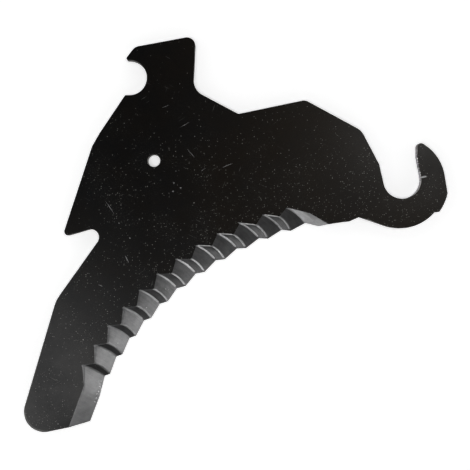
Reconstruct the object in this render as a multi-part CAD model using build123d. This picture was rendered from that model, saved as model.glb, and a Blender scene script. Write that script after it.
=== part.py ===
from build123d import *
import math
import os

# Forage wagon knife
# One flat plate of hardened steel. It is laser cut from sheet, so every edge but one is square to
# the faces. The long hollow edge is ground to a bevel on the top face and fluted, which leaves a
# wavy cutting edge flush with the back face. The big hook hangs on the shaft the knife turns
# about, the round notch at the head sits on a roller that holds the knife in the chute, and the
# bore takes the tool that pulls the knife out.
# Millimetres. X runs to the right, Y up the plate, Z is the thickness. The back face lies at
# Z = 0 and the origin is the centre of the shaft seat.

THICKNESS = 5.0

# Shaft hook
SEAT_RADIUS = 22.5
HOOK_CENTRE = (-2.8, -3.6)
HOOK_RADIUS = 54.8
NOSE_OVERHANG = 4.8            # how far the nose stands in from the seat's widest point
NOSE_DROP = 27.0               # height above the seat's centre where the nose's wall turns straight
NOSE_RADIUS = 5.0
THROAT_ANGLE = 102.7           # direction in which the throat's wall leaves the seat
THROAT_LENGTH = 24.0
PAD_HEIGHT = 4.2               # the raised pad on the outside of the hook
PAD_FOOT_ANGLE = -40.5
PAD_START_ANGLE = -36.5
PAD_END_ANGLE = -12.5

# Roller notch in the head
ROLLER_CENTRE = (-327.6, 122.7)
ROLLER_RADIUS = 20.9
LIP_LENGTH = 5.2               # flat of the lower lip, outside the notch's arc
BEAK_LENGTH = 6.0              # reach of the upper lip to its sharp corner
BEAK_RADIUS = 2.4

# Bore for the pulling tool
BORE_CENTRE = (-298.0, 22.9)
BORE_RADIUS = 7.25

# Corners of the blank, each with the radius of its rounding
HEAD_LEFT = (-321.0, 159.8)
HEAD_LEFT_RADIUS = 11.5
HEAD_RIGHT = (-247.7, 173.4)
HEAD_RIGHT_RADIUS = 10.2
HEAD_FOOT = (-250.9, 108.0)
HEAD_FOOT_RADIUS = 20.5
BACK_DIP = (-196.6, 79.2)
BACK_DIP_RADIUS = 4.0
BACK_PEAK = (-116.4, 96.0)
BACK_PEAK_RADIUS = 12.0
BACK_SHOULDER = (-48.8, 59.4)
BACK_SHOULDER_RADIUS = 20.5
SIDE_UPPER = (-363.5, 56.1)
SIDE_LOWER = (-372.5, 40.3)
SPUR_TIP = (-408.6, -69.4)
SPUR_TIP_RADIUS = 5.0
SPUR_ROOT = (-350.1, -52.3)
SPUR_ROOT_RADIUS = 9.5
ARM_SHOULDER = (-415.7, -144.5)
ARM_SHOULDER_RADIUS = 43.0
ARM_END = (-466.0, -312.6)
ARM_END_RADIUS = 25.0
ARM_END_SLOPE = 13.1           # the arm's end rises by this angle towards the cutting edge

# Cutting edge: an arc about a centre below the plate
EDGE_CENTRE = (-23.9, -424.2)
TIP_RADIUS = 379.0             # through the tips of the teeth
GRINDING_DEPTH = 2.8           # how far grinding sets the tips back from the cut blank
BELLY_ANGLE = 96.0             # where the blank's arc ends at the hook's neck
STEP_DIRECTION = 24.0          # the short step between the arc's end and the neck
NECK_DIRECTION = -18.9

# Teeth, counted from the arm's end: a ridge ends in a tip, and a valley lies before each ridge
TOOTH_COUNT = 11
EDGE_LAND = 0.4                # thickness left at the cutting edge
FIRST_TIP_ANGLE = 149.95
TOOTH_PITCH = 27.8
PITCH_GROWTH = 0.14            # each pitch is longer than the one before
FLANK_FIRST = 5.2              # short side of a tooth along the edge, at the arm's end
FLANK_FULL = 10.0
SETTLING_TEETH = 5             # the teeth that it takes to reach the full form
VALLEY_SET_BACK = 4.5          # the valleys lie this much deeper than the tips
VALLEY_RUN = 29.4              # length of a valley in plan
VALLEY_LEAN_FIRST = 29.5       # valleys and ridges fall towards the right by these angles
VALLEY_LEAN_FULL = 38.5
RIDGE_RUN = 22.4
RIDGE_LEAN_FIRST = 39.5
RIDGE_LEAN_GROWTH = 1.0

# Plain bevel between the teeth and the arm's end, and the last flute at the other end
BEVEL_START = 30.0             # along the edge, from the first tip
BEVEL_WIDTH = 20.5
BEVEL_ADVANCE = 1.4            # its edge stands out this much further than the tips
RUN_OUT_LENGTH = 28.5          # the last flute runs along the edge, then turns out of the plate
RUN_OUT_DIRECTION = -13.5
EXIT_LENGTH = 40.0
EXIT_DIRECTION = -30.0

# How far the grinding form reaches past the plate
FORM_CLEARANCE = 3.0
FORM_REACH = 14.0
FORM_OVERRUN_ANGLE = 4.5

BLANK_RADIUS = TIP_RADIUS - GRINDING_DEPTH


def polar(centre, radius, angle):
    """Point at a distance and an angle in degrees from a centre."""
    turn = math.radians(angle)
    return (centre[0] + radius * math.cos(turn), centre[1] + radius * math.sin(turn))


def angle_of(centre, point):
    """Direction in degrees from a centre to a point."""
    return math.degrees(math.atan2(point[1] - centre[1], point[0] - centre[0]))


def line_meets_circle(point, direction, centre, radius):
    """First point where a line that starts at a point enters a circle."""
    ahead = polar((0, 0), 1, direction)
    offset = (point[0] - centre[0], point[1] - centre[1])
    along = offset[0] * ahead[0] + offset[1] * ahead[1]
    short = offset[0] ** 2 + offset[1] ** 2 - radius**2
    return polar(point, -along - math.sqrt(along**2 - short), direction)


def rounded_run(points, radii):
    """Straight run through points, each inner corner rounded by at most what its sides allow."""
    sides = [math.dist(a, b) for a, b in zip(points, points[1:])]
    shares = [side if k in (0, len(sides) - 1) else side / 2 for k, side in enumerate(sides)]
    limited = []
    for k, radius in enumerate(radii):
        back = angle_of(points[k + 1], points[k])
        ahead = angle_of(points[k + 1], points[k + 2])
        half_corner = math.radians(abs((ahead - back + 180) % 360 - 180)) / 2
        room = min(shares[k], shares[k + 1]) * math.tan(half_corner)
        limited.append(min(radius, 0.99 * room))
    return FilletPolyline(*points, radius=limited)


def arc(centre, radius, start, end):
    """Arc from one angle to another, turning the way that the signs say."""
    middle = polar(centre, radius, (start + end) / 2)
    return ThreePointArc(polar(centre, radius, start), middle, polar(centre, radius, end))


def throat_start():
    """Point where the throat's straight wall leaves the shaft seat."""
    return polar((0, 0), SEAT_RADIUS, THROAT_ANGLE + 90)


def neck_end():
    """Angle on the hook's outside where the neck's straight edge touches it."""
    return NECK_DIRECTION - 90


def belly_end():
    """Corner where the blank's hollow arc ends, before the hook's neck."""
    return polar(EDGE_CENTRE, BLANK_RADIUS, BELLY_ANGLE)


def neck_start():
    """Top of the step at the neck, moved on to the line of the neck's edge."""
    touch = polar(HOOK_CENTRE, HOOK_RADIUS, neck_end())
    corner = belly_end()
    step = polar((0, 0), 1, STEP_DIRECTION)
    neck = polar((0, 0), 1, NECK_DIRECTION)
    gap = (touch[0] - corner[0], touch[1] - corner[1])
    across = step[0] * neck[1] - step[1] * neck[0]
    length = (gap[0] * neck[1] - gap[1] * neck[0]) / across
    return polar(corner, length, STEP_DIRECTION)


def arm_corner():
    """Corner between the arm's end and the blank's hollow arc."""
    return line_meets_circle(ARM_END, ARM_END_SLOPE, EDGE_CENTRE, BLANK_RADIUS)


def left_side():
    """Outline from the cutting edge round the arm and the spur up to the roller notch."""
    notch_foot = (ROLLER_CENTRE[0], ROLLER_CENTRE[1] - ROLLER_RADIUS)
    lip = (notch_foot[0] - LIP_LENGTH, notch_foot[1])
    points = [arm_corner(), ARM_END, ARM_SHOULDER, SPUR_ROOT, SPUR_TIP, SIDE_LOWER, SIDE_UPPER]
    radii = [ARM_END_RADIUS, ARM_SHOULDER_RADIUS, SPUR_ROOT_RADIUS, SPUR_TIP_RADIUS, 0, 0, 0]
    return rounded_run(points + [lip, notch_foot], radii)


def head_and_back():
    """Outline from the roller notch over the head and along the back to the shaft seat."""
    notch_top = (ROLLER_CENTRE[0], ROLLER_CENTRE[1] + ROLLER_RADIUS)
    beak = (notch_top[0] - BEAK_LENGTH, notch_top[1])
    throat_top = polar(throat_start(), THROAT_LENGTH, THROAT_ANGLE)
    points = [notch_top, beak, HEAD_LEFT, HEAD_RIGHT, HEAD_FOOT, BACK_DIP, BACK_PEAK]
    points += [BACK_SHOULDER, throat_top, throat_start()]
    radii = [BEAK_RADIUS, HEAD_LEFT_RADIUS, HEAD_RIGHT_RADIUS, HEAD_FOOT_RADIUS]
    radii += [BACK_DIP_RADIUS, BACK_PEAK_RADIUS, BACK_SHOULDER_RADIUS, 0]
    return rounded_run(points, radii)


def tangent_angle(point):
    """Angle on the shaft seat where a straight wall from a point outside it runs out tangent."""
    apart = math.acos(SEAT_RADIUS / math.dist((0, 0), point))
    return angle_of((0, 0), point) - math.degrees(apart)


def hook():
    """Outline of the hook: seat, nose, outside with its pad, neck and the step at the belly."""
    nose_wall = SEAT_RADIUS - NOSE_OVERHANG
    nose_foot = (nose_wall, NOSE_DROP)
    seat_end = tangent_angle(nose_foot)
    nose_x = nose_wall + NOSE_RADIUS
    lift = math.acos((nose_x - HOOK_CENTRE[0]) / (HOOK_RADIUS - NOSE_RADIUS))
    nose_angle = math.degrees(lift)
    nose_centre = polar(HOOK_CENTRE, HOOK_RADIUS - NOSE_RADIUS, nose_angle)
    pad_radius = HOOK_RADIUS + PAD_HEIGHT
    pad_tail = PAD_END_ANGLE + math.degrees(math.acos(HOOK_RADIUS / pad_radius))
    pad_foot = polar(HOOK_CENTRE, HOOK_RADIUS, PAD_FOOT_ANGLE)
    pad_start = polar(HOOK_CENTRE, pad_radius, PAD_START_ANGLE)
    pad_end = polar(HOOK_CENTRE, pad_radius, PAD_END_ANGLE)
    neck_touch = polar(HOOK_CENTRE, HOOK_RADIUS, neck_end())
    return [
        arc((0, 0), SEAT_RADIUS, THROAT_ANGLE + 90, 360 + seat_end),
        Polyline(polar((0, 0), SEAT_RADIUS, seat_end), nose_foot, (nose_wall, nose_centre[1])),
        arc(nose_centre, NOSE_RADIUS, 180, nose_angle),
        arc(HOOK_CENTRE, HOOK_RADIUS, nose_angle, pad_tail),
        Line(polar(HOOK_CENTRE, HOOK_RADIUS, pad_tail), pad_end),
        arc(HOOK_CENTRE, pad_radius, PAD_END_ANGLE, PAD_START_ANGLE),
        Line(pad_start, pad_foot),
        arc(HOOK_CENTRE, HOOK_RADIUS, PAD_FOOT_ANGLE, neck_end()),
        Polyline(neck_touch, neck_start(), belly_end()),
    ]


def blank():
    """The plate as cut from sheet, before the edge is ground."""
    start = angle_of(EDGE_CENTRE, arm_corner())
    outline = [left_side(), arc(ROLLER_CENTRE, ROLLER_RADIUS, -90, 90), head_and_back()]
    outline += hook()
    outline.append(arc(EDGE_CENTRE, BLANK_RADIUS, BELLY_ANGLE, start))
    face = make_face(Curve() + outline)
    face -= Pos(*BORE_CENTRE) * Circle(BORE_RADIUS)
    return extrude(face, THICKNESS)


def settled(first, full, tooth):
    """Value that goes from its first to its full size over the settling teeth."""
    share = min(max(tooth, 0) / SETTLING_TEETH, 1)
    return first + (full - first) * share


def along_edge(distance, angle):
    """Angle moved along the edge from the arm's end towards the hook by a distance."""
    return angle - math.degrees(distance / TIP_RADIUS)


def tip_angle(tooth):
    """Angle of a tooth's tip about the edge's centre."""
    distance = TOOTH_PITCH * tooth + PITCH_GROWTH * tooth * (tooth + 1) / 2
    return along_edge(distance, FIRST_TIP_ANGLE)


def ridge_line(tooth):
    """Ridge of a tooth in plan: its upper end on the face and its lower end on the edge."""
    tip = polar(EDGE_CENTRE, TIP_RADIUS, tip_angle(tooth))
    lean = RIDGE_LEAN_FIRST + RIDGE_LEAN_GROWTH * tooth
    return polar(tip, RIDGE_RUN, 180 - lean), tip


def valley_line(tooth):
    """Valley before a tooth in plan: its upper end on the face and its lower end on the edge."""
    flank = settled(FLANK_FIRST, FLANK_FULL, tooth)
    angle = along_edge(-flank, tip_angle(tooth))
    foot = polar(EDGE_CENTRE, TIP_RADIUS + VALLEY_SET_BACK, angle)
    lean = settled(VALLEY_LEAN_FIRST, VALLEY_LEAN_FULL, tooth)
    return polar(foot, VALLEY_RUN, 180 - lean), foot


def plain_bevel():
    """Plain bevel in plan: a line past the arm's end, and the ridge where the teeth begin."""
    foot_radius = TIP_RADIUS - BEVEL_ADVANCE
    end = angle_of(EDGE_CENTRE, arm_corner()) + FORM_OVERRUN_ANGLE
    end_foot = polar(EDGE_CENTRE, foot_radius, end)
    end_top = polar(EDGE_CENTRE, foot_radius + BEVEL_WIDTH, end)
    start_foot = polar(EDGE_CENTRE, foot_radius, along_edge(-BEVEL_START, FIRST_TIP_ANGLE))
    start_top = polar(start_foot, RIDGE_RUN, 180 - RIDGE_LEAN_FIRST)
    return [(end_top, end_foot), (start_top, start_foot)]


def shifted(line, length, direction):
    """Line of the bevel moved in plan."""
    return tuple(polar(point, length, direction) for point in line)


def last_flute():
    """The last valley, where its flute turns, and past the belly of the plate."""
    valley = valley_line(TOOTH_COUNT)
    turn = shifted(valley, RUN_OUT_LENGTH, RUN_OUT_DIRECTION)
    return [valley, turn, shifted(turn, EXIT_LENGTH, EXIT_DIRECTION)]


def form_section(top, foot):
    """Upright section of the grinding form over one line of the bevel."""
    run = math.dist(top, foot)
    fall = angle_of(top, foot)
    slope = (THICKNESS - EDGE_LAND) / run
    above = polar(top, -FORM_CLEARANCE / slope, fall)
    outside = polar(foot, FORM_REACH, fall)
    ceiling = THICKNESS + FORM_CLEARANCE
    corners = [
        (*above, ceiling),
        (*foot, EDGE_LAND),
        (*foot, -FORM_CLEARANCE),
        (*outside, -FORM_CLEARANCE),
        (*outside, ceiling),
    ]
    return Face(Wire.make_polygon([Vector(*corner) for corner in corners]))


def grinding_form():
    """Space that grinding takes away: the bevel, its flutes and all that lies outside the edge."""
    lines = plain_bevel()
    for tooth in range(TOOTH_COUNT):
        lines += [valley_line(tooth), ridge_line(tooth)]
    lines += last_flute()
    return loft([form_section(top, foot) for top, foot in lines], ruled=True)


def knife_blade():
    """The finished knife."""
    blade = (blank() - grinding_form()).solid()
    blade.label = "knife_blade"
    return blade


os.makedirs("parts", exist_ok=True)
export_step(knife_blade(), "parts/knife_blade.step")
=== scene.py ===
# %% [markdown]
# # A forage wagon knife
# The knife is one flat plate of hardened steel. It is cut from sheet by a laser, quenched until its
# faces are near black, and then ground along its long hollow edge: a bevel, crossed by flutes that
# leave eleven teeth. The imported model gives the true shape. This lesson gives the plate its rounded
# corners, its ground creases and its marks from use, and then its finishes, lights and camera.

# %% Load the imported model
import math
import random

import bpy
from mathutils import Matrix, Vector


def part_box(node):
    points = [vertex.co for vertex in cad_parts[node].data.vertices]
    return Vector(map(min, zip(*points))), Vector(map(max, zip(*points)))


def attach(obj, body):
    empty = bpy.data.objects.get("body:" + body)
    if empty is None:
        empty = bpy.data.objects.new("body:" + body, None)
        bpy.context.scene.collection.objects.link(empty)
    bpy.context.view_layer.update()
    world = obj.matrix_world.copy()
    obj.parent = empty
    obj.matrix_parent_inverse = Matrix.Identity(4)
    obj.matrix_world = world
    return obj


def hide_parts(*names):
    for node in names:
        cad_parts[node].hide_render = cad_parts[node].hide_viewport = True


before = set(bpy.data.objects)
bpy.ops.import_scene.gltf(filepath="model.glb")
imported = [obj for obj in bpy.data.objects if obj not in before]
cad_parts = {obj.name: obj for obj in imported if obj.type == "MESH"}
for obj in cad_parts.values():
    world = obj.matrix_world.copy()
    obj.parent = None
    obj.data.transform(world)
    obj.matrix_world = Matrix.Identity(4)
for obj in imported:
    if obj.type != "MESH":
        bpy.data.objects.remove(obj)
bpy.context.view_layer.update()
MM = 0.001
low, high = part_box("knife_blade")
plate_top = high.z
print("plate", [round(side / MM, 1) for side in high - low], "mm")

# %% [markdown]
# ## Selecting by code
# An operator acts on what is selected, as it does when you work by hand. So small helpers come
# first: one makes a single object active, one selects faces, edges or corners that pass a test and
# enters edit mode, and one tells which faces meet at each edge.


# %% Helpers for selecting
def only(piece):
    """Leave edit mode and make one object the only one selected."""
    if bpy.context.object and bpy.context.object.mode != "OBJECT":
        bpy.ops.object.mode_set(mode="OBJECT")
    bpy.ops.object.select_all(action="DESELECT")
    piece.select_set(True)
    bpy.context.view_layer.objects.active = piece


def pick(piece, kind, test):
    """Enter edit mode with the corners, edges or faces selected that pass a test."""
    only(piece)
    mesh = piece.data
    kinds = {"VERT": mesh.vertices, "EDGE": mesh.edges, "FACE": mesh.polygons}
    for group in kinds.values():
        group.foreach_set("select", [False] * len(group))
    chosen = [bool(test(item)) for item in kinds[kind]]
    modes = bpy.context.tool_settings
    modes.mesh_select_mode = (kind == "VERT", kind == "EDGE", kind == "FACE")
    kinds[kind].foreach_set("select", chosen)
    bpy.ops.object.mode_set(mode="EDIT")
    return sum(chosen)


def faces_of_edges(mesh):
    """The faces that meet at each edge, in a list with one entry for each edge."""
    place = {key: number for number, key in enumerate(mesh.edge_keys)}
    found = [[] for _ in mesh.edges]
    for face in mesh.polygons:
        for key in face.edge_keys:
            found[place[key]].append(face)
    return found


# %% [markdown]
# ## A copy to work on
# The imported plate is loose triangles, and it must stay as it is. So it is copied, and the copy's
# doubled corners are merged. Triangles that lie in one plane then become one face: a flat face
# shades evenly, and its outline is easy to select.

# %% Copy the plate and merge it
LEVEL = 0.99995                      # upright part of the normal of a level face
UPRIGHT = 0.02                       # and the most that an upright face has
MERGE = 0.001 * MM
IN_PLANE = math.radians(0.3)         # triangles that turn by less than this lie in one plane
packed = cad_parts["knife_blade"]
plate = packed.copy()
plate.data = packed.data.copy()
plate.name = plate.data.name = "knife_plate"
plate.parent = None
plate.data.materials.clear()
bpy.context.scene.collection.objects.link(plate)
for key in list(plate.keys()):
    del plate[key]

pick(plate, "FACE", lambda face: True)
bpy.ops.mesh.remove_doubles(threshold=MERGE)
bpy.ops.mesh.dissolve_limited(angle_limit=IN_PLANE)
only(plate)
print("merged plate", len(plate.data.polygons), "faces")

# %% [markdown]
# ## Finding the arcs
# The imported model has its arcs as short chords, and the seat of the hook shows that in a close view.
# Three corners in a row belong to an arc where the outline turns a little between two chords of the
# same length. The circle that runs through the three then gives the arc's centre.

# %% Find the arcs
LEAST_TURN, MOST_TURN = math.radians(0.5), math.radians(35)
SAME_LENGTH = 0.02                   # two chords of one arc differ in length by less than this share


def rim_edges(mesh):
    """Numbers of the edges between a level face and an upright one."""
    found = []
    for edge, faces in enumerate(faces_of_edges(mesh)):
        rises = sorted(abs(face.normal.z) for face in faces)
        if rises[0] < UPRIGHT and rises[-1] > LEVEL:
            found.append(edge)
    return found


def arc_centre(before, corner, after):
    """Centre in plan of the circle through three corners, or None where they make no arc."""
    first, second = (before - corner).xy, (after - corner).xy
    turned = math.pi - first.angle(second)
    uneven = abs(first.length / second.length - 1)
    if uneven > SAME_LENGTH or not LEAST_TURN < turned < MOST_TURN:
        return None
    across = 2 * (first.x * second.y - first.y * second.x)
    reach_x = first.length_squared * second.y - second.length_squared * first.y
    reach_y = second.length_squared * first.x - first.length_squared * second.x
    return corner.xy + Vector((reach_x, reach_y)) / across


def arc_chords(mesh):
    """Each chord of an arc of the outline, with its ends and the arc's centre."""
    places = [corner.co.copy() for corner in mesh.vertices]
    rims = rim_edges(mesh)
    beside = {}
    for edge in rims:
        one, other = mesh.edges[edge].vertices
        beside.setdefault(one, []).append(other)
        beside.setdefault(other, []).append(one)
    centres = {}
    for corner, ends in beside.items():
        if len(ends) == 2:
            centres[corner] = arc_centre(places[ends[0]], places[corner], places[ends[1]])
    chords = {}
    for edge in rims:
        one, other = mesh.edges[edge].vertices
        centre = centres.get(one) or centres.get(other)
        if centre:
            chords[edge] = (places[one], places[other], centre)
    return chords


chords = arc_chords(plate.data)
print("arcs have", len(chords), "chords")

# %% [markdown]
# ## Rounder arcs
# Each chord is cut into four, and the new corners move out on to the circle of their arc. The new
# corners come after the old ones in the mesh, and the place of each tells on which chord it lies.

# %% Move new corners on to the arcs
ARC_CUTS = 3
ON_CHORD = MERGE / 10                # a detour over a corner of the chord is no longer than this


def on_chord(place, chord):
    """True where a new corner lies on a chord."""
    one, other, _ = chord
    return (place - one).length + (place - other).length - (one - other).length < ON_CHORD


old_corners = len(plate.data.vertices)
pick(plate, "EDGE", lambda edge: edge.index in chords)
bpy.ops.mesh.subdivide(number_cuts=ARC_CUTS)
only(plate)
for corner in plate.data.vertices[old_corners:]:
    chord = next((chord for chord in chords.values() if on_chord(corner.co, chord)), None)
    if chord:
        one, _, centre = chord
        radius = (one.xy - centre).length
        corner.co.xy = centre + radius * (corner.co.xy - centre).normalized()
print("now", len(plate.data.vertices) - old_corners, "corners more")

# %% [markdown]
# ## The ground bevel
# The bevel's facets are slightly twisted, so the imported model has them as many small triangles. A
# regular grid shades better and can be bent. The triangles of one facet differ by two degrees at
# most and the creases between facets by far more, so a limited dissolve joins each facet into one
# face. Cutting every side of those faces into equal parts then gives a regular grid. The plain
# bevel and the first flute differ so little that they are joined too, and are parted again.
# Each face also gets the number of its finish: every tooth has a wide and a narrow side, and the
# last flute, which runs out into the top face, is left as two faces.

# %% Give every facet a regular grid
FACE, WALL, GROUND, PLAIN, FLANK, RUN_OUT, CREASE, RIM, CHIP, MARK = range(10)
STEEPEST = 0.05                      # upright part of the normal of the steepest bevel face, at least
FACET_TWIST = math.radians(5)
NARROW = 350 * MM * MM               # the narrow side of every tooth has less area than this
GRID_CUTS = 7


def is_bevel(face):
    """A face of the ground bevel: neither level nor upright."""
    return STEEPEST < face.normal.z < LEVEL


for _ in range(MARK + 1):
    plate.data.materials.append(None)
pick(plate, "FACE", is_bevel)
bpy.ops.mesh.dissolve_limited(angle_limit=FACET_TWIST)
only(plate)
corners = plate.data.vertices
facets = [face for face in plate.data.polygons if is_bevel(face)]
for face in facets:
    if len(face.vertices) == 4:
        face.material_index = FLANK if face.area < NARROW else GROUND
    else:
        face.material_index = RUN_OUT
plain_facet = max(facets, key=lambda face: len(face.vertices))
plain_facet.material_index = GROUND
turn = sorted(plain_facet.vertices, key=lambda corner: corners[corner].co.y)[2:4]
turn_top = max((corners[corner].co.copy() for corner in turn), key=lambda place: place.z)
pick(plate, "VERT", lambda corner: corner.index in turn)    # the line where the two were joined
bpy.ops.mesh.vert_connect()
only(plate)
for face in plate.data.polygons:
    if face.material_index == GROUND and face.center.y < turn_top.y:
        face.material_index = PLAIN
pick(plate, "FACE", lambda face: is_bevel(face) and len(face.vertices) == 4)
bpy.ops.mesh.subdivide(number_cuts=GRID_CUTS)
only(plate)
print("facets", len(facets) + 1, "with", sum(map(is_bevel, plate.data.polygons)), "faces")

# %% [markdown]
# ## Bowed creases
# A grinding wheel is round, so the creases that it leaves aren't straight: each bows a little
# towards the hook. Height on the bevel tells how far down a crease a corner lies, so one formula
# moves every corner of the grid: nothing at the top and the foot, and the full bow halfway. At the
# top of each valley the wheel has run on over the top face, which leaves a short, pointed tail.

# %% Bow the creases
EDGE_LAND = 0.4 * MM
BOW = 1.8 * MM
BOW_START = 25 * MM                  # the bow grows to its full size over this much of the edge
TAIL = 1.5 * MM                      # the valleys run on over the top face by this much
tail_way = Vector((-0.94, 0.33))
EDGE_CENTRE = Vector((-23.9, -424.2)) * MM      # centre of the circle of the hollow edge
VALLEY_TOP_RADIUS = 404 * MM         # the tops of the valleys lie farther out than this
CREASE_LEAN = math.radians(42)       # from the X axis, of the creases halfway along the edge
bow_way = Vector((math.sin(CREASE_LEAN), math.cos(CREASE_LEAN), 0))


def bow_at(place):
    """How far the bow moves a corner of the bevel."""
    down = (plate_top - place.z) / (plate_top - EDGE_LAND)
    started = min(max((place.y - turn_top.y) / BOW_START, 0), 1)
    return BOW * started * max(4 * down * (1 - down), 0)


def is_valley_top(corner, place):
    """True for the top end of a valley, where its line runs out on the top face."""
    apart = (place.xy - EDGE_CENTRE).length
    return corner in creased and place.z > plate_top - MERGE and apart > VALLEY_TOP_RADIUS


def corners_of(test):
    """Numbers of the corners of all faces that pass a test."""
    return {corner for face in plate.data.polygons if test(face) for corner in face.vertices}


bevel_corners = corners_of(is_bevel)
narrow_side = corners_of(lambda face: face.material_index in (FLANK, RUN_OUT))
wide_side = corners_of(lambda face: face.material_index == GROUND)
creased = narrow_side & wide_side
tails = 0
for corner in bevel_corners:
    place = plate.data.vertices[corner].co
    if is_valley_top(corner, place):
        place.xy += TAIL * tail_way
        tails += 1
    place += bow_at(place) * bow_way
plate.data.update()
print("bowed", len(bevel_corners), "corners by up to", BOW / MM, "mm, and", tails, "tails")

# %% [markdown]
# ## Which edges to round
# No edge on a ground and tumbled plate is a perfect line. The creases between the flutes are
# rounded by the wheel, and the rims of the cut outline are broken so that they don't cut a hand.
# Towards the hook, the narrow sides also have a crest where they meet the top face, and the
# arm's round corner is worn more than the rest. Crests and creases get the crease finish below,
# whose grey is a painted highlight. The faces that meet at an edge tell its kind, so each kind
# gets a test on them.

# %% Tests for creases, crests and rims
CREASE_TURN = math.radians(8)
CREST_FROM = -0.25                   # the crests start at this place along X
WORN_END = Vector((-0.41, -0.27))    # the arm's round corner, left of and below this, is worn more


def finish_of(face):
    """The finish that a face of the bare plate gets."""
    if abs(face.normal.z) > LEVEL:
        return FACE
    return face.material_index if is_bevel(face) else WALL


def is_crest(faces):
    """True for an edge where the narrow side of a tooth meets the top face."""
    towards_hook = any(face.center.x > CREST_FROM for face in faces if face.material_index == FLANK)
    return towards_hook and {face.material_index for face in faces} == {FACE, FLANK}


def is_crease(faces):
    """True for an edge between two facets that meet at an angle."""
    if len(faces) != 2 or not all(map(is_bevel, faces)):
        return False
    if {face.material_index for face in faces} == {RUN_OUT}:
        return False
    return faces[0].normal.angle(faces[1].normal) > CREASE_TURN


def is_rim(faces, side):
    """True for an edge where the top face (side 1) or the back face (side -1) meets a full wall."""
    if not any(face.normal.z * side > LEVEL for face in faces):
        return False
    walls = [face for face in faces if abs(face.normal.z) < UPRIGHT]
    heights = [plate.data.vertices[corner].co.z for face in walls for corner in face.vertices]
    return bool(walls) and max(heights) > plate_top / 2


def is_worn_end(faces):
    """True for a top rim on the arm's round corner."""
    places = [face.center for face in faces if abs(face.normal.z) < UPRIGHT]
    worn = any(place.x < WORN_END.x and place.y < WORN_END.y for place in places)
    return worn and is_rim(faces, 1)


for face in plate.data.polygons:
    face.material_index = finish_of(face)
print("creases", sum(map(is_crease, faces_of_edges(plate.data))), "edges")

# %% [markdown]
# ## Creases and rims
# The bevel operator rounds all edges that are selected, and gives its new faces a finish of their
# own. It runs once for each kind of edge, because each has its own width. No test picks the cutting
# edge, so that stays sharp.

# %% Round the creases and break the rims
CREASE_WIDTH, CREASE_STEPS = 1.1 * MM, 3
CREST_WIDTH, WORN_WIDTH = 0.7 * MM, 1.5 * MM
TOP_RIM, BACK_RIM, RIM_STEPS = 0.55 * MM, 0.25 * MM, 2


def break_edges(test, width, steps, finish):
    """Round every edge whose faces pass a test."""
    only(plate)
    chosen = {edge for edge, faces in enumerate(faces_of_edges(plate.data)) if test(faces)}
    count = pick(plate, "EDGE", lambda edge: edge.index in chosen)
    bpy.ops.mesh.bevel(offset=width, segments=steps, affect="EDGES", material=finish)
    only(plate)
    print("rounded", count, "edges by", round(width / MM, 2), "mm")


# Creases and crests get the CREASE finish, whose grey is a painted highlight
break_edges(is_crease, CREASE_WIDTH, CREASE_STEPS, CREASE)
break_edges(is_crest, CREST_WIDTH, RIM_STEPS, CREASE)
break_edges(is_worn_end, WORN_WIDTH, RIM_STEPS, RIM)
break_edges(lambda faces: is_rim(faces, 1), TOP_RIM, RIM_STEPS, RIM)
break_edges(lambda faces: is_rim(faces, -1), BACK_RIM, 1, RIM)
open_edges = sum(len(faces) != 2 for faces in faces_of_edges(plate.data))
print("plate", len(plate.data.polygons), "faces,", open_edges, "open edges")

# %% [markdown]
# ## Marks from use
# A bare plate looks drawn, not made. Its larger marks are real dents: chips at the cutting edge
# and inside the hook, short scratches, pits, a nick beside the seat, and three round dimples where
# the hardness was tested. Their places come first, in millimetres along X and Y, and for a
# scratch also its length and its direction in degrees.

# %% Places of the marks
DIMPLES = [(-274, -4), (-266, -10), (-275, -14)]
EDGE_CHIPS = [(-362.5, -243.5), (-363.2, -247), (-364, -250), (-363.6, -253.2),
              (-365, -255.5), (-366.8, -259), (-368.4, -264), (-370.2, -268)]
HOOK_CHIPS = [(17, 30), (17.4, 25.5), (17.9, 22.5), (18.4, 19.2), (18.8, 16.5), (19.4, 13.8),
              (20, 11.2), (20.6, 8.6), (21.3, 6)]
SCRATCHES = [(-284, 88, 9, 23), (-253, 31, 13, -49), (-210, 17, 12, 22), (-351, -33, 17, -56),
             (-362, -127, 6.5, -22), (-239, 12, 6, 37), (-261, 66, 12, 29), (-330, -96, 9, -64)]
PITS = [(-271.5, 10.5), (-228.3, 27.3), (-265.5, 52.5), (-249, 52), (-166, 1), (-267, 115),
        (-403.5, -173), (-398, -174), (-413, -293), (-340, -52), (-331, -64), (-327, -70),
        (-376, -262)]
NICK = (25.2, 3.4)
print("marks", len(DIMPLES + EDGE_CHIPS + HOOK_CHIPS + SCRATCHES + PITS) + 1)

# %% [markdown]
# ## Stones that cut
# A mark is as rough as the stone or steel that made it. So each is cut by a small ball, stretched
# to the mark's size, with its corners moved in and out at random. The draws are seeded, so that
# they are the same each time.

# %% Set the stones
DIMPLE_RADIUS, DIMPLE_DEPTH = 1.6 * MM, 0.3 * MM
EDGE_CHIP_SIZES = (0.6, 1.2)         # smallest and largest half width, in millimetres
HOOK_CHIP_SIZES, PIT_SIZES = (0.6, 1.1), (0.4, 0.7)
EDGE_CHIP_LONG, HOOK_CHIP_LONG = 1.5, 1.3      # a chip's length for its width
EDGE_CHIP_HEIGHT = 3 * EDGE_LAND
SCRATCH_HALF_WIDTH, SCRATCH_DEPTH, PIT_DEPTH = 0.35 * MM, 0.2 * MM, 0.3 * MM
NICK_SIZES, NICK_LIFT = (4.2 * MM, 1.2 * MM, 1.1 * MM), 0.1 * MM
NICK_TURN = 0.2                      # radians
draw = random.Random(7)
stones = []


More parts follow.
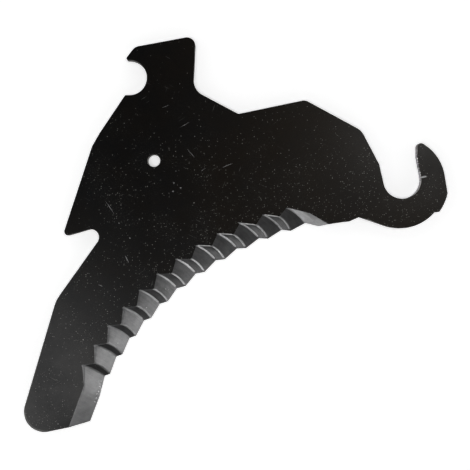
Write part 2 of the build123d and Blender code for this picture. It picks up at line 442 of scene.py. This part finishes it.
def stone(x, y, height, sizes, turn=0.0, rough=0.15):
    """A small lump, stretched to its sizes and turned, that leaves a mark where it cuts."""
    only(plate)
    place = (x * MM, y * MM, height)
    bpy.ops.mesh.primitive_ico_sphere_add(subdivisions=2, radius=1, location=place)
    lump = bpy.context.object
    lump.scale = sizes
    lump.rotation_euler.z = turn
    bpy.ops.object.transform_apply(location=False, rotation=True, scale=True)
    for corner in lump.data.vertices:
        corner.co *= 1 + draw.uniform(-rough, rough)
    bpy.ops.object.transform_apply(location=True)
    stones.append(lump)


ball = (DIMPLE_RADIUS**2 + DIMPLE_DEPTH**2) / (2 * DIMPLE_DEPTH)     # radius that gives such a dimple
for x, y in DIMPLES:
    stone(x, y, plate_top + ball - DIMPLE_DEPTH, (ball, ball, ball), rough=0)
for x, y in EDGE_CHIPS:
    size = draw.uniform(*EDGE_CHIP_SIZES) * MM
    sizes = (size, EDGE_CHIP_LONG * size, size)
    stone(x, y, EDGE_CHIP_HEIGHT, sizes, draw.uniform(0, math.pi))
for x, y, length, degrees in SCRATCHES:
    sizes = (length / 2 * MM, SCRATCH_HALF_WIDTH, SCRATCH_DEPTH)
    stone(x, y, plate_top, sizes, math.radians(degrees), rough=0.4)
for x, y in PITS:
    size = draw.uniform(*PIT_SIZES) * MM
    stone(x, y, plate_top, (size, size, PIT_DEPTH), rough=0.3)
for x, y in HOOK_CHIPS:
    size = draw.uniform(*HOOK_CHIP_SIZES) * MM
    sizes = (size, HOOK_CHIP_LONG * size, size)
    stone(x, y, plate_top, sizes, draw.uniform(0, math.pi))
stone(*NICK, plate_top + NICK_LIFT, NICK_SIZES, NICK_TURN)
print("stones", len(stones))

# %% [markdown]
# ## Cutting them in
# The stones are joined, so that one boolean takes them all away from the plate in one go and the
# mesh stays closed. The faces that they leave have dulled with time. Only the marks in the hook,
# right of its seat's centre, and at the cutting edge, which lies near the back face, are fresh and
# bright, so they get a finish of their own.

# %% Cut the marks
bpy.ops.object.select_all(action="DESELECT")
for lump in stones:
    lump.select_set(True)
bpy.context.view_layer.objects.active = stones[0]
bpy.ops.object.join()
cutter = bpy.context.object
for _ in range(MARK + 1):
    cutter.data.materials.append(None)
for face in cutter.data.polygons:
    face.material_index = MARK
only(plate)
cut = plate.modifiers.new("marks", "BOOLEAN")
cut.object = cutter
cut.operation = "DIFFERENCE"
cut.solver = "EXACT"
bpy.ops.object.modifier_apply(modifier=cut.name)
bpy.data.objects.remove(cutter)
for face in plate.data.polygons:
    if face.material_index == MARK and (face.center.x > 0 or face.center.z < plate_top / 2):
        face.material_index = CHIP
open_edges = sum(len(faces) != 2 for faces in faces_of_edges(plate.data))
print("marked plate", len(plate.data.polygons), "faces,", open_edges, "open edges")

# %% [markdown]
# ## Shading
# Edges where the faces turn by more than thirty-six degrees are marked sharp, and the rest shade
# smoothly, so that the arcs look round. The outlines of the marks are sharp too. Only where the
# last flute runs out into the top face does a steeper edge stay soft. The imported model's own
# normals no longer fit, so they are cleared first. The large flat faces would pull in the tilt of
# their rims, so a modifier lets the largest face at each corner set its normal.

# %% Smooth the arcs and keep the faces flat
SHARP = math.radians(36)


def is_sharp(faces):
    """True for the outline of a mark, and for a sharp turn anywhere but at the last flute's end."""
    finishes = {face.material_index for face in faces}
    if len(finishes) == 2 and finishes & {CHIP, MARK}:
        return True
    return finishes != {FACE, RUN_OUT} and faces[0].normal.angle(faces[1].normal) > SHARP


only(plate)
bpy.ops.mesh.customdata_custom_splitnormals_clear()
bpy.ops.object.shade_smooth()
sharp = {edge for edge, faces in enumerate(faces_of_edges(plate.data)) if is_sharp(faces)}
pick(plate, "EDGE", lambda edge: edge.index in sharp)
bpy.ops.mesh.mark_sharp()
only(plate)
weigh = plate.modifiers.new("flat faces", "WEIGHTED_NORMAL")
weigh.keep_sharp = True
weigh.weight = 100
bpy.ops.object.modifier_apply(modifier=weigh.name)
print("sharp edges", len(sharp), "of", len(plate.data.edges))

# %% [markdown]
# ## Where the wheel ran
# Grinding leaves fine lines that run down the flutes, slanting across the bevel. A pattern has to
# follow them, so the bevel gets a UV map in metres: U is the place along the cutting edge where the
# wheel's line through a corner ends, and V is how far up that line the corner lies. The chips and
# marks stay off the map, because no wheel ran in them.

# %% Map the bevel along its grinding lines
TIP_RADIUS = 379 * MM                # of the hollow edge about its centre
FIRST_TIP, LAST_TIP = math.radians(150), math.radians(104)      # ends of the teeth about that centre
LEAN_FIRST, LEAN_LAST = math.radians(36), math.radians(48)      # of the wheel's lines at those ends


def wheel_line(place):
    """Where the wheel's line through a place meets the edge, and how far up it the place lies."""
    offset = (place - bow_at(place) * bow_way).xy - EDGE_CENTRE
    angle = math.atan2(offset.y, offset.x)
    share = min(max((FIRST_TIP - angle) / (FIRST_TIP - LAST_TIP), 0), 1)
    lean = LEAN_FIRST + (LEAN_LAST - LEAN_FIRST) * share
    fall = Vector((math.cos(lean), -math.sin(lean)))
    along = offset.dot(fall)
    short = offset.length_squared - TIP_RADIUS**2
    reach = -along - math.sqrt(max(along**2 - short, 0))
    foot = offset + reach * fall
    return -TIP_RADIUS * math.atan2(foot.y, foot.x), reach


wheel_map = plate.data.uv_layers.new(name="wheel_lines")
for face in plate.data.polygons:
    if face.material_index in (GROUND, PLAIN, FLANK, RUN_OUT, CREASE):
        for loop in face.loop_indices:
            corner = plate.data.loops[loop].vertex_index
            wheel_map.data[loop].uv = wheel_line(plate.data.vertices[corner].co)
print("mapped the bevel along", round(TIP_RADIUS * (FIRST_TIP - LAST_TIP) / MM), "mm of edge")

# %% [markdown]
# ## Nodes by name
# A finish is a tree of nodes. One helper adds a node and sets or links its inputs, and a few short
# ones wrap the nodes that are used most, so that each finish below reads as a short recipe. Scales
# of noise and cells are counts in each metre.


# %% Helpers for nodes
def add(tree, kind, inputs, **settings):
    """Add a node with its settings, and set or link its inputs."""
    node = tree.nodes.new(kind)
    for name, value in settings.items():
        setattr(node, name, value)
    for name, value in inputs.items():
        if isinstance(value, bpy.types.NodeSocket):
            tree.links.new(value, node.inputs[name])
        else:
            node.inputs[name].default_value = value
    return node


def calc(tree, operation, one, other=0.0):
    """Result of a sum on one or two values."""
    return add(tree, "ShaderNodeMath", {0: one, 1: other}, operation=operation).outputs[0]


def weigh_up(tree, one, one_share, other, other_share):
    """Sum of two values, each times its share."""
    part = calc(tree, "MULTIPLY", one, one_share)
    return calc(tree, "ADD", part, calc(tree, "MULTIPLY", other, other_share))


def spread(tree, value, source, target):
    """Value stretched from one range to another, and clamped."""
    inputs = {0: value, 1: source[0], 2: source[1], 3: target[0], 4: target[1]}
    return add(tree, "ShaderNodeMapRange", inputs).outputs[0]


def blend(tree, share, one, other):
    """Colour between two colours, which are sockets 6 and 7 of the node."""
    return add(tree, "ShaderNodeMix", {0: share, 6: one, 7: other}, data_type="RGBA").outputs[2]


def stretch(tree, vector, scale):
    """Coordinates made longer or shorter along each axis."""
    return add(tree, "ShaderNodeMapping", {"Vector": vector, "Scale": scale}).outputs[0]


def noise(tree, vector, scale, detail=3.0, roughness=0.5):
    """Smooth noise about 0.5."""
    inputs = {"Vector": vector, "Scale": scale, "Detail": detail, "Roughness": roughness}
    return add(tree, "ShaderNodeTexNoise", inputs).outputs[0]


print("node helpers ready")

# %% [markdown]
# ## Specks
# Dust, scale and grit lie on the plate as light specks, from tenths of a millimetre to over one.
# Voronoi cells give scattered points: a cell's colour decides whether it has a speck at all, and
# the distance to its point makes the speck. Several finishes use this, so it is a node group with
# named inputs and one mask as its output.

# %% Specks group
VECTOR, NUMBER = "NodeSocketVector", "NodeSocketFloat"
WOBBLE_SCALE = 900.0                 # of the noise that makes the specks ragged
SMALLEST, FAINTEST = 0.35, 0.3       # the least share of its size and brightness that a speck gets


def new_group(name, inputs, outputs):
    """An empty node group with named sockets, and its two end nodes."""
    group = bpy.data.node_groups.new(name, "ShaderNodeTree")
    for label, kind, value in inputs:
        socket = group.interface.new_socket(label, in_out="INPUT", socket_type=kind)
        if value is not None:
            socket.default_value = value
    for label in outputs:
        group.interface.new_socket(label, in_out="OUTPUT", socket_type=NUMBER)
    return group, add(group, "NodeGroupInput", {}), add(group, "NodeGroupOutput", {})


specks, given, result = new_group(
    "specks",
    [
        ("Vector", VECTOR, None),
        ("Cells", NUMBER, 120.0),
        ("Share", NUMBER, 0.1),
        ("Size", NUMBER, 0.07),
    ],
    ["Mask"],
)
wobble = noise(specks, given.outputs["Vector"], WOBBLE_SCALE, 1.0)
raster = {"Vector": given.outputs["Vector"], "Scale": given.outputs["Cells"]}
cells = add(specks, "ShaderNodeTexVoronoi", raster)
lot = add(specks, "ShaderNodeSeparateColor", {0: cells.outputs["Color"]})
drawn = calc(specks, "LESS_THAN", lot.outputs[0], given.outputs["Share"])
larger = calc(specks, "ADD", lot.outputs[1], SMALLEST)
size = calc(specks, "MULTIPLY", given.outputs["Size"], larger)
ragged = calc(specks, "MULTIPLY", size, calc(specks, "ADD", wobble, 0.5))
inside = calc(specks, "LESS_THAN", cells.outputs["Distance"], ragged)
bright = calc(specks, "ADD", calc(specks, "MULTIPLY", lot.outputs[2], 1 - FAINTEST), FAINTEST)
mask = calc(specks, "MULTIPLY", calc(specks, "MULTIPLY", inside, drawn), bright)
specks.links.new(mask, result.inputs["Mask"])
print("group", specks.name)

# %% [markdown]
# ## Scratches
# Handling leaves short, thin, straight scratches that run all ways. Noise that is stretched
# twentyfold along one way gives streaks, a threshold keeps the strongest, and a second, broad
# noise breaks them up. The group turns its coordinates first, so each use has its own direction.

# %% Scratches group
ALONG_SCALE, PATCH_SCALE = 45.0, 28.0          # of the noise along the scratches and of the patches
SOFT_STEP = 0.06                     # the noise goes from no scratch to a full one over this much
scratches, given, result = new_group(
    "scratches",
    [
        ("Vector", VECTOR, None),
        ("Turn", NUMBER, 0.5),
        ("Fine", NUMBER, 900.0),
        ("Level", NUMBER, 0.7),
    ],
    ["Mask"],
)
turned = add(
    scratches,
    "ShaderNodeVectorRotate",
    {"Vector": given.outputs["Vector"], "Angle": given.outputs["Turn"]},
    rotation_type="Z_AXIS",
)
axes = add(scratches, "ShaderNodeSeparateXYZ", {0: turned.outputs[0]})
along = calc(scratches, "MULTIPLY", axes.outputs[0], ALONG_SCALE)
across = calc(scratches, "MULTIPLY", axes.outputs[1], given.outputs["Fine"])
lines = add(scratches, "ShaderNodeCombineXYZ", {0: along, 1: across})
streaks = noise(scratches, lines.outputs[0], 1.0, 1.0)
patches = noise(scratches, turned.outputs[0], PATCH_SCALE, 1.0)
upper = calc(scratches, "ADD", given.outputs["Level"], SOFT_STEP)
kept = spread(scratches, streaks, (given.outputs["Level"], upper), (0.0, 1.0))
worn = spread(scratches, patches, (0.5, 0.62), (0.0, 1.0))
mask = calc(scratches, "MULTIPLY", kept, worn)
scratches.links.new(mask, result.inputs["Mask"])
print("group", scratches.name)

# %% [markdown]
# ## The quenched skin
# Quenching in oil leaves a thin, near black skin. Its tone is not even: it has broad clouds and
# finer mottling, and it turns browner towards the hook. Noise of two sizes and the place along X
# are added up, and the sum says how far each spot is from a bluish black to a brown one.

# %% Tone of the quenched skin
SKIN_DARK, SKIN_LIGHT = (0.0009, 0.0012, 0.0018, 1), (0.0160, 0.0122, 0.0088, 1)
CLOUD_SCALE, MOTTLING_SCALE = 11.0, 160.0
COOL_END, WARM_END = -0.31, -0.13    # along X, the skin grows browner between these


def new_finish(name):
    """An empty finish: the material, its tree, its shader and the object's coordinates."""
    finish = bpy.data.materials.new(name)
    finish.use_nodes = True
    tree = finish.node_tree
    place = add(tree, "ShaderNodeTexCoord", {}).outputs["Object"]
    return finish, tree, tree.nodes["Principled BSDF"], place


quenched, tree, shader, place = new_finish("quenched_skin")
clouds = spread(tree, noise(tree, place, CLOUD_SCALE, 4.0, 0.6), (0.35, 0.68), (0.0, 1.0))
mottling = noise(tree, place, MOTTLING_SCALE, 4.0, 0.65)
apart = add(tree, "ShaderNodeSeparateXYZ", {0: place})
hotter = spread(tree, apart.outputs[0], (COOL_END, WARM_END), (0.0, 0.6))
tone = calc(tree, "ADD", weigh_up(tree, clouds, 0.35, mottling, 0.45), hotter)
skin = blend(tree, spread(tree, tone, (0.2, 1.2), (0.0, 1.0)), SKIN_DARK, SKIN_LIGHT)
print("finish", quenched.name, "has its tone")

# %% [markdown]
# ## Where the grit lies
# Light grit sticks to the skin in clusters, with less of it on the head. It lies thickest beside
# the ground teeth, where the wheel threw it, and thins out with the distance from them. So a
# distance from the centre of the hollow edge, a place along Y and a broad noise give the shares.

# %% Masks for the grit
GRIT_NEAR, GRIT_FAR = 22 * MM, 110 * MM        # thrown grit thins out from here to there
ARM_END, BODY_START = -0.19, -0.11   # along Y, the arm turns into the body between these
BODY_END, HEAD_START = 0.02, 0.09    # and the body into the head between these
CLUSTER_SCALE = 20.0


def vectors(tree, operation, one, other=(0, 0, 0), result="Vector"):
    """Result of a sum on one or two vectors, which may be a value such as a distance."""
    return add(tree, "ShaderNodeVectorMath", {0: one, 1: other}, operation=operation).outputs[result]


level = vectors(tree, "MULTIPLY", place, (1, 1, 0))
from_centre = vectors(tree, "DISTANCE", level, (*EDGE_CENTRE, 0), "Value")
near_teeth = spread(tree, from_centre, (TIP_RADIUS + GRIT_NEAR, TIP_RADIUS + GRIT_FAR), (1.0, 0.0))
off_arm = spread(tree, apart.outputs[1], (ARM_END, BODY_START), (0.4, 1.0))
near_teeth = calc(tree, "MULTIPLY", near_teeth, off_arm)
clusters = spread(tree, noise(tree, place, CLUSTER_SCALE, 2.0), (0.42, 0.66), (0.0, 1.0))
off_head = spread(tree, apart.outputs[1], (BODY_END, HEAD_START), (1.0, 0.2))
clusters = calc(tree, "MULTIPLY", clusters, off_head)
print("masks for grit ready")

# %% [markdown]
# ## Grit and grain
# The grit itself is specks of two sizes, so the group stands in the finish twice. The coarse ones
# are few and the fine ones many. Within the clusters a very fine grain also greys the skin.

# %% Grit and grain on the skin
SPECK_COLOUR, GRAIN_COLOUR = (0.50, 0.49, 0.46, 1), (0.035, 0.034, 0.031, 1)
COARSE_CELLS, FINE_CELLS, GRAIN_SCALE = 120.0, 500.0, 800.0


def use(tree, group, inputs):
    """Place a group in a finish with its own values."""
    return add(tree, "ShaderNodeGroup", inputs, node_tree=group)


coarse_share = spread(tree, clusters, (0.0, 1.0), (0.03, 0.16))
coarse_look = {"Vector": place, "Cells": COARSE_CELLS, "Share": coarse_share, "Size": 0.07}
coarse = use(tree, specks, coarse_look)
grit_share = weigh_up(tree, off_head, 0.14, clusters, 0.45)
grit_share = calc(tree, "MAXIMUM", grit_share, calc(tree, "MULTIPLY", near_teeth, 0.6))
fine = use(tree, specks, {"Vector": place, "Cells": FINE_CELLS, "Share": grit_share, "Size": 0.19})
dust = calc(tree, "MAXIMUM", coarse.outputs[0], calc(tree, "MULTIPLY", fine.outputs[0], 0.6))
grain = spread(tree, noise(tree, place, GRAIN_SCALE, 2.0, 0.6), (0.52, 0.68), (0.0, 1.0))
grain_share = calc(tree, "ADD", calc(tree, "MULTIPLY", clusters, 0.6), 0.2)
grain = calc(tree, "MULTIPLY", grain, grain_share)
print("specks of two sizes and a grain")

# %% [markdown]
# ## A painted highlight on the arm
# A thin light band runs just inside the arm's round corner. It is a painted highlight: the glint that
# the rounded corner catches from the lamps on the left. It is a part of a circle: the distance from
# the circle's centre draws it, and a second mask keeps only the part that lies outwards, down and to
# the left.

# %% Painted highlight at the arm's corner
ARM_CORNER, ARM_BAND = (-0.4297, -0.2785), 23.2 * MM     # the circle's centre and radius
BAND_FULL, BAND_GONE = 0.5 * MM, 1.5 * MM      # off the circle, the band fades out between these
OUTWARD = (-0.7, -0.7, 0)
corner_way = vectors(tree, "SUBTRACT", level, (*ARM_CORNER, 0))
corner_reach = vectors(tree, "LENGTH", corner_way, result="Value")
off_band = calc(tree, "ABSOLUTE", calc(tree, "SUBTRACT", corner_reach, ARM_BAND))
ring = spread(tree, off_band, (BAND_FULL, BAND_GONE), (1.0, 0.0))
outward = vectors(tree, "DOT_PRODUCT", corner_way, OUTWARD, "Value")
outer_part = spread(tree, outward, (0.5 * ARM_BAND, 0.8 * ARM_BAND), (0.0, 1.0))
band = calc(tree, "MULTIPLY", ring, outer_part)
print("band of radius", ARM_BAND / MM, "mm")

# %% [markdown]
# ## The skin put together
# Over the tone go the grain, scratches that run three ways, the painted highlight band and the grit,
# each as a colour with its mask. The skin isn't metal to the light, so it is a dark, satin surface
# with a low reflection. Grit is duller than the skin, and shallow pits break up the sheen.

# %% Colour and sheen of the skin
SCRATCH_COLOUR, BAND_HIGHLIGHT_COLOUR = (0.13, 0.127, 0.12, 1), (0.085, 0.085, 0.080, 1)
SCRATCH_WAYS, SCRATCH_LEVEL = (0.5, 1.9, 2.6), 0.74
DULL, SHINY, PIT_SCALE = 0.40, 0.29, 1100.0


def emboss(tree, shader, height, strength, depth):
    """Feed the shader's normal with a bump that a height makes."""
    bump = add(tree, "ShaderNodeBump", {"Strength": strength, "Distance": depth, "Height": height})
    tree.links.new(bump.outputs[0], shader.inputs["Normal"])


scored = 0.0
for way in SCRATCH_WAYS:
    lines = use(tree, scratches, {"Vector": place, "Turn": way, "Level": SCRATCH_LEVEL})
    scored = calc(tree, "MAXIMUM", scored, lines.outputs[0])
colour = blend(tree, grain, skin, GRAIN_COLOUR)
colour = blend(tree, scored, colour, SCRATCH_COLOUR)
# the band at the arm's corner is a painted highlight
colour = blend(tree, band, colour, BAND_HIGHLIGHT_COLOUR)
colour = blend(tree, dust, colour, SPECK_COLOUR)
tree.links.new(colour, shader.inputs["Base Color"])
satin = spread(tree, calc(tree, "ADD", mottling, clouds), (0.4, 1.5), (DULL, SHINY))
satin = calc(tree, "ADD", satin, calc(tree, "MULTIPLY", dust, 0.3))
tree.links.new(satin, shader.inputs["Roughness"])
pits = noise(tree, place, PIT_SCALE, 3.0, 0.6)
relief = weigh_up(tree, pits, 0.5, mottling, 1.0)
emboss(tree, shader, relief, strength=0.35, depth=0.06 * MM)
shader.inputs["Specular IOR Level"].default_value = 0.25
print("finish", quenched.name)

# %% [markdown]
# ## The ground steel
# Where the wheel or a blow took the skin away, the steel is bare. The wheel's lines follow the UV
# map made above: noise that is very fine along U and very long along V draws them. Over that lie
# broad patches of a slightly darker grey and a few specks. Bare steel is a metal, so its colour is
# its reflection. One recipe serves all bare steel, and only its greys and its roughness differ.

# %% Recipe for bare steel
DIRT_COLOUR = (0.42, 0.42, 0.41, 1)
FIRST_TOOTH, LAST_TOOTH = -0.37, -0.14         # along X
FINE_LINES, BROAD_LINES = (2400.0, 60.0, 1.0), (420.0, 22.0, 1.0)    # scales along U and V
STEEL_PATCHES, DIRT_CELLS = 120.0, 260.0


def wheel_marks(tree):
    """Grinding lines and where they run, from the bevel's UV map."""
    lay = add(tree, "ShaderNodeUVMap", {}, uv_map="wheel_lines").outputs[0]
    fine = noise(tree, stretch(tree, lay, FINE_LINES), 1.0, 2.0)
    broad = noise(tree, stretch(tree, lay, BROAD_LINES), 1.0, 2.0)
    return weigh_up(tree, fine, 0.6, broad, 0.4)


def bare_steel(name, dark, light, roughness, growth=1.0, grown_at=LAST_TOOTH):
    """Bare steel between two greys, which may grow lighter from the first tooth to a place along X."""
    finish, tree, shader, place = new_finish(name)
    marks = wheel_marks(tree)
    patches = noise(tree, place, STEEL_PATCHES, 4.0, 0.7)
    share = spread(tree, weigh_up(tree, marks, 0.5, patches, 0.5), (0.36, 0.64), (0.0, 1.0))
    steel = blend(tree, share, (dark, dark, dark, 1), (light, light, 1.01 * light, 1))
    apart = add(tree, "ShaderNodeSeparateXYZ", {0: place})
    # For the flanks and creases, this lightening towards the hook is painted light: it stands for the
    # lamps' reflection
    grown = spread(tree, apart.outputs[0], (FIRST_TOOTH, grown_at), (1.0, growth))
    scaled = {0: steel, "Scale": grown}
    steel = add(tree, "ShaderNodeVectorMath", scaled, operation="SCALE").outputs[0]
    dirt = use(tree, specks, {"Vector": place, "Cells": DIRT_CELLS, "Share": 0.16, "Size": 0.12})
    tree.links.new(blend(tree, dirt.outputs[0], steel, DIRT_COLOUR), shader.inputs["Base Color"])
    tree.links.new(spread(tree, marks, (0.35, 0.65), roughness), shader.inputs["Roughness"])
    emboss(tree, shader, marks, strength=0.2, depth=0.05 * MM)
    shader.inputs["Metallic"].default_value = 0.85
    print("finish", name)
    return finish


ground = bare_steel("ground_steel", 0.10, 0.18, (0.28, 0.33))
plain = bare_steel("plain_bevel", 0.110, 0.185, (0.28, 0.33))

# %% [markdown]
# ## Flanks, creases and chips
# The narrow sides of the teeth are steeper. Their darker grey is painted shade, darkest near the arm,
# and its lightening towards the hook is a painted reflection of the lamps. The rounded creases and
# crests get a grey that grows brighter up to where the crests start: a painted highlight, for the
# light that rounded creases catch. The last flute runs out in a light, duller grey, which is a painted
# highlight too. Fresh chips sparkle, and older marks have dulled.

# %% More finishes of bare steel
# Narrow sides: a darker grey of painted shade, lightening towards the hook as a painted reflection
flank = bare_steel("flute_flank_painted_light", 0.032, 0.060, (0.31, 0.36), growth=1.9)
# Creases and crests: a painted highlight, brighter towards the hook
crease_highlight = bare_steel(
    "crease_painted_highlight", 0.08, 0.14, (0.30, 0.36), growth=3.0, grown_at=CREST_FROM
)
# Last flute: a light grey that is a painted highlight
run_out = bare_steel("run_out_painted_highlight", 0.30, 0.50, (0.44, 0.50))
fresh_chip = bare_steel("fresh_chip", 0.55, 0.80, (0.40, 0.50))
old_mark = bare_steel("old_mark", 0.22, 0.36, (0.40, 0.50))

# %% [markdown]
# ## The cut walls
# A laser leaves fine ridges that run straight through the plate, and a thin grey and brown film of
# oxide. Noise that is fine in plan and long through the thickness draws the ridges on a wall that
# faces any way. Around the seat the walls get a light grey: a painted highlight, for the hook's inner
# wall lit by the lamps on the left.

# %% Finish of the cut walls
OXIDE_GREY, OXIDE_BROWN = (0.035, 0.034, 0.033, 1), (0.085, 0.081, 0.075, 1)
GROOVE_COLOUR, SEAT_HIGHLIGHT_COLOUR = (0.05, 0.048, 0.045, 1), (0.42, 0.40, 0.44, 1)
RIDGE_SCALE, FILM_SCALE = (1500.0, 1500.0, 110.0), 60.0
SEAT_HIGHLIGHT_REACH = 36 * MM                # walls this near to the seat's centre get the painted highlight
cut_wall, tree, shader, place = new_finish("laser_cut_wall")
ridges = noise(tree, stretch(tree, place, RIDGE_SCALE), 1.0, 2.0)
film = spread(tree, noise(tree, place, FILM_SCALE, 3.0), (0.35, 0.65), (0.0, 1.0))
from_seat = vectors(tree, "LENGTH", place, result="Value")
# painted highlight on the walls near the seat, whichever way they face; on the rims below, this name
# holds real wear
highlight_and_wear = spread(tree, from_seat, (SEAT_HIGHLIGHT_REACH, 1.3 * SEAT_HIGHLIGHT_REACH), (1.0, 0.0))
tint = blend(tree, highlight_and_wear, blend(tree, film, OXIDE_GREY, OXIDE_BROWN), SEAT_HIGHLIGHT_COLOUR)
on_ridge = spread(tree, ridges, (0.3, 0.7), (0.0, 1.0))
tree.links.new(blend(tree, on_ridge, GROOVE_COLOUR, tint), shader.inputs["Base Color"])
tree.links.new(spread(tree, ridges, (0.3, 0.7), (0.62, 0.42)), shader.inputs["Roughness"])
emboss(tree, shader, ridges, strength=0.6, depth=0.08 * MM)
shader.inputs["Metallic"].default_value = 0.6
print("finish", cut_wall.name)

# %% [markdown]
# ## Broken rims
# The rounded rims of the outline rub against the slot, the shaft and other knives. The black skin
# is thin there, and bare steel shows in patches. Noise decides where.

# %% Finish of the rims
RIM_SKIN, RIM_STEEL = (0.03, 0.028, 0.025, 1), (0.34, 0.335, 0.32, 1)
RUB_SCALE, NICK_SCALE = 70.0, 700.0
rim, tree, shader, place = new_finish("rubbed_rim")
highlight_and_wear = spread(tree, noise(tree, place, RUB_SCALE, 4.0, 0.7), (0.48, 0.62), (0.0, 1.0))
tree.links.new(blend(tree, highlight_and_wear, RIM_SKIN, RIM_STEEL), shader.inputs["Base Color"])
tree.links.new(spread(tree, highlight_and_wear, (0.0, 1.0), (0.45, 0.36)), shader.inputs["Roughness"])
emboss(tree, shader, noise(tree, place, NICK_SCALE, 2.0), strength=0.4, depth=0.08 * MM)
shader.inputs["Metallic"].default_value = 0.5
print("finish", rim.name)

# %% [markdown]
# ## Put the finishes on
# The faces already carry the number of their finish, so the materials only have to be put in their
# slots in that order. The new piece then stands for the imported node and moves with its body.

# %% Dress the plate
finishes = [
    quenched, cut_wall, ground, plain, flank, run_out, crease_highlight, rim, fresh_chip, old_mark,
]
for number, finish in enumerate(finishes):
    plate.data.materials[number] = finish
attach(plate, "root")
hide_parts("knife_blade")
used = [face.material_index for face in plate.data.polygons]
counts = [used.count(number) for number in range(len(finishes))]
print("faces with each finish", counts)

# %% [markdown]
# ## Camera
# The knife lies flat and the camera looks straight down on it, from half a metre: so near that the
# walls that face the middle of the picture show. The view is 564 mm wide at the plate's top face.

# %% Camera
CAMERA_PLACE = Vector((-200.7, -66.3, 505.0)) * MM
VIEW_WIDTH = 564 * MM
SENSOR = 36
camera_data = bpy.data.cameras.new("camera")
camera_data.sensor_width = SENSOR
camera_data.lens = SENSOR * (CAMERA_PLACE.z - plate_top) / VIEW_WIDTH
camera = bpy.data.objects.new("camera", camera_data)
camera.location = CAMERA_PLACE
bpy.context.scene.collection.objects.link(camera)
bpy.context.scene.camera = camera
print("lens", round(camera_data.lens, 1), "mm")

# %% [markdown]
# ## Floor
# The floor is white paint. To the camera and to mirroring steel it glows a little more than the
# lamps would make it, so that it looks white, and that glow throws no light on the knife.

# %% Floor
FLOOR_SIZE = 12.0
FLOOR_WHITE, FLOOR_GLOW = (0.9, 0.9, 0.9, 1), 0.55
only(plate)
bpy.ops.mesh.primitive_plane_add(size=FLOOR_SIZE, location=(CAMERA_PLACE.x, CAMERA_PLACE.y, low.z))
floor = bpy.context.object
floor.name = "floor"
floor_paint = bpy.data.materials.new("floor_paint")
floor_paint.use_nodes = True
tree = floor_paint.node_tree
shader = tree.nodes["Principled BSDF"]
shader.inputs["Base Color"].default_value = FLOOR_WHITE
shader.inputs["Roughness"].default_value = 0.9
shader.inputs["Specular IOR Level"].default_value = 0.1
rays = add(tree, "ShaderNodeLightPath", {})
seen = calc(tree, "MAXIMUM", rays.outputs["Is Camera Ray"], rays.outputs["Is Glossy Ray"])
seen = calc(tree, "MAXIMUM", seen, rays.outputs["Is Transmission Ray"])
shader.inputs["Emission Color"].default_value = (1, 1, 1, 1)
tree.links.new(calc(tree, "MULTIPLY", seen, FLOOR_GLOW), shader.inputs["Emission Strength"])
floor.data.materials.append(floor_paint)
print("floor", FLOOR_SIZE, "m wide")

# %% [markdown]
# ## Room
# The room is a plain gradient, bright at the horizon and dark overhead, as in a studio with lit
# walls and a dark ceiling. So the level black skin mirrors the dark ceiling, and the sloping facets
# mirror more of the walls.

# %% Room
BRIGHT_BELOW, DARK_ABOVE = 0.12, 0.38          # heights on the dome of the room: 1 is overhead
DARK_CEILING, LIT_WALLS = (0.01, 0.01, 0.01, 1), (4.0, 4.0, 4.0, 1)
room = bpy.data.worlds.new("room")
room.use_nodes = True
bpy.context.scene.world = room
tree = room.node_tree
way = add(tree, "ShaderNodeTexCoord", {}).outputs["Generated"]
height = add(tree, "ShaderNodeSeparateXYZ", {0: way}).outputs[2]
lit = spread(tree, height, (BRIGHT_BELOW, DARK_ABOVE), (1.0, 0.0))
sky = blend(tree, lit, DARK_CEILING, LIT_WALLS)
tree.links.new(sky, tree.nodes["Background"].inputs["Color"])
print("room ready")

# %% [markdown]
# ## Lamps
# Three soft lamps hang about two metres up: one in front of the cutting edge, a larger and stronger
# one to the left, and one to the right behind the back. Each lights the facets that lean towards
# it, so that the wide and the narrow sides of the teeth differ.


# %% Lamps
def softbox(name, place, size, power):
    """A square area lamp that faces the knife."""
    lamp = bpy.data.lights.new(name, "AREA")
    lamp.size = size
    lamp.energy = power
    box = bpy.data.objects.new(name, lamp)
    box.location = place
    aim = Vector((CAMERA_PLACE.x, CAMERA_PLACE.y, 0)) - box.location
    box.rotation_euler = aim.to_track_quat("-Z", "Y").to_euler()
    bpy.context.scene.collection.objects.link(box)


softbox("front_lamp", Vector((-0.205, -1.00, 2.0)), 0.45, 4.2)
softbox("left_lamp", Vector((-1.45, -0.90, 1.9)), 0.8, 10.0)
softbox("right_lamp", Vector((1.00, 0.65, 2.0)), 0.6, 5.5)
bpy.context.scene.view_settings.view_transform = "Standard"
print("lamps ready")
